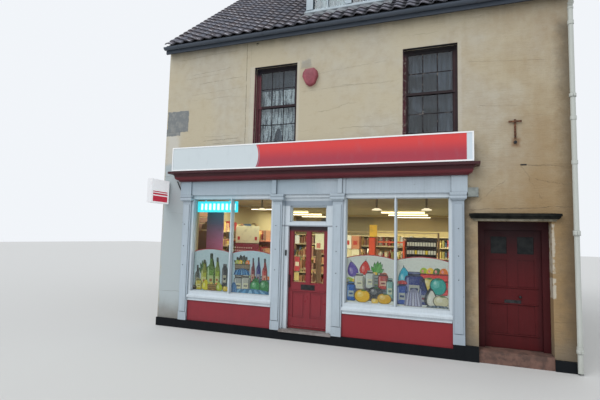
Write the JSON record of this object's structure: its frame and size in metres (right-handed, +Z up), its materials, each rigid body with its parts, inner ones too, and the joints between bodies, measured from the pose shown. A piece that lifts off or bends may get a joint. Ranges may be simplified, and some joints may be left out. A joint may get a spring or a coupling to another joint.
{
  "type": "mid-terrace corner shop building",
  "caption": "Two-storey rendered terrace house with an attic dormer, a timber shopfront under a long sign box, and two doors that open inwards.",
  "frame": {"origin": "centre of the house's plan at ground level, on the underside of the ground floor", "axes": "+Z up, -Y towards the street, +X to the right seen from the street"},
  "size_m": [7.9, 8.875, 9.8359],
  "materials": {
    "party_render": "rough",
    "cream_render": "rough",
    "floor_tiles": "satin",
    "ceiling_board": "matte",
    "roof_timber": "rough",
    "clay_pantiles": "rough",
    "ridge_clay": "rough",
    "black_paint": "satin",
    "cream_paint": "satin",
    "lead_sheet": "matte",
    "white_paint": "satin",
    "plinth_black": "satin",
    "step_stone": "rough",
    "red_paint": "satin",
    "clear_glass": "polished",
    "maroon_paint": "satin",
    "sign_metal": "satin",
    "sign_panel": "gloss",
    "door_red": "satin",
    "dark_iron": "satin",
    "hood_stone": "rough",
    "brown_paint": "matte",
    "net_curtain": "matte",
    "alarm_red": "gloss",
    "grey_plastic": "matte",
    "rusty_iron": "rough",
    "lamp_glow": "gloss",
    "shelf_paint": "satin"
  },
  "bodies": {
    "building": {"left_party_wall": "party_render", "right_party_wall": "party_render", "front_wall": "cream_render", "front_piers": "cream_render", "side_door_head": "cream_render", "rear_wall": "cream_render", "ground_floor": "floor_tiles", "first_floor": "ceiling_board", "attic_floor": "ceiling_board", "roof_front": "roof_timber", "roof_rear": "roof_timber", "tiles_front": "clay_pantiles", "tiles_rear": "clay_pantiles", "ridge": "ridge_clay", "eaves_boards": "black_paint", "gutters": "black_paint", "downpipes": "cream_paint", "dormer_cheeks": "lead_sheet", "dormer_window": "white_paint", "dormer_roof": "lead_sheet", "plinth": "plinth_black", "door_steps": "step_stone", "stallrisers": "red_paint", "shop_sills": "white_paint", "shop_window_frames": "white_paint", "shopfront_glass": "clear_glass", "pilasters": "white_paint", "frieze": "white_paint", "cornice": "maroon_paint", "sign_box": "sign_metal", "sign_face": "sign_panel", "shop_door_frame": "white_paint", "side_door_frame": "door_red", "door_hood": "hood_stone", "sash_frames": "brown_paint", "window_glass": "clear_glass", "curtains": "net_curtain", "alarm_box": "alarm_red", "meter_box": "grey_plastic", "iron_bracket": "rusty_iron", "projecting_sign": "sign_panel", "window_sign": "lamp_glow", "ceiling_lights": "lamp_glow", "shelf_ends": "shelf_paint", "shelf_boards": "shelf_paint"},
    "shop_door": {"shop_door": "door_red", "shop_door_glass": "clear_glass", "shop_door_fittings": "dark_iron"},
    "side_door": {"side_door": "door_red", "side_door_glass": "clear_glass", "side_door_fittings": "dark_iron"}
  },
  "joints": [
    {"name": "shop_door_hinge", "type": "hinge", "parent": "building", "child": "shop_door", "pos_m": [-0.1375, -3.826, 1.2], "axis": [0, 0, -1], "range_deg": [0, 90]},
    {"name": "side_door_hinge", "type": "hinge", "parent": "building", "child": "side_door", "pos_m": [3.4875, -3.646, 1.2], "axis": [0, 0, -1], "range_deg": [0, 90]}
  ]
}
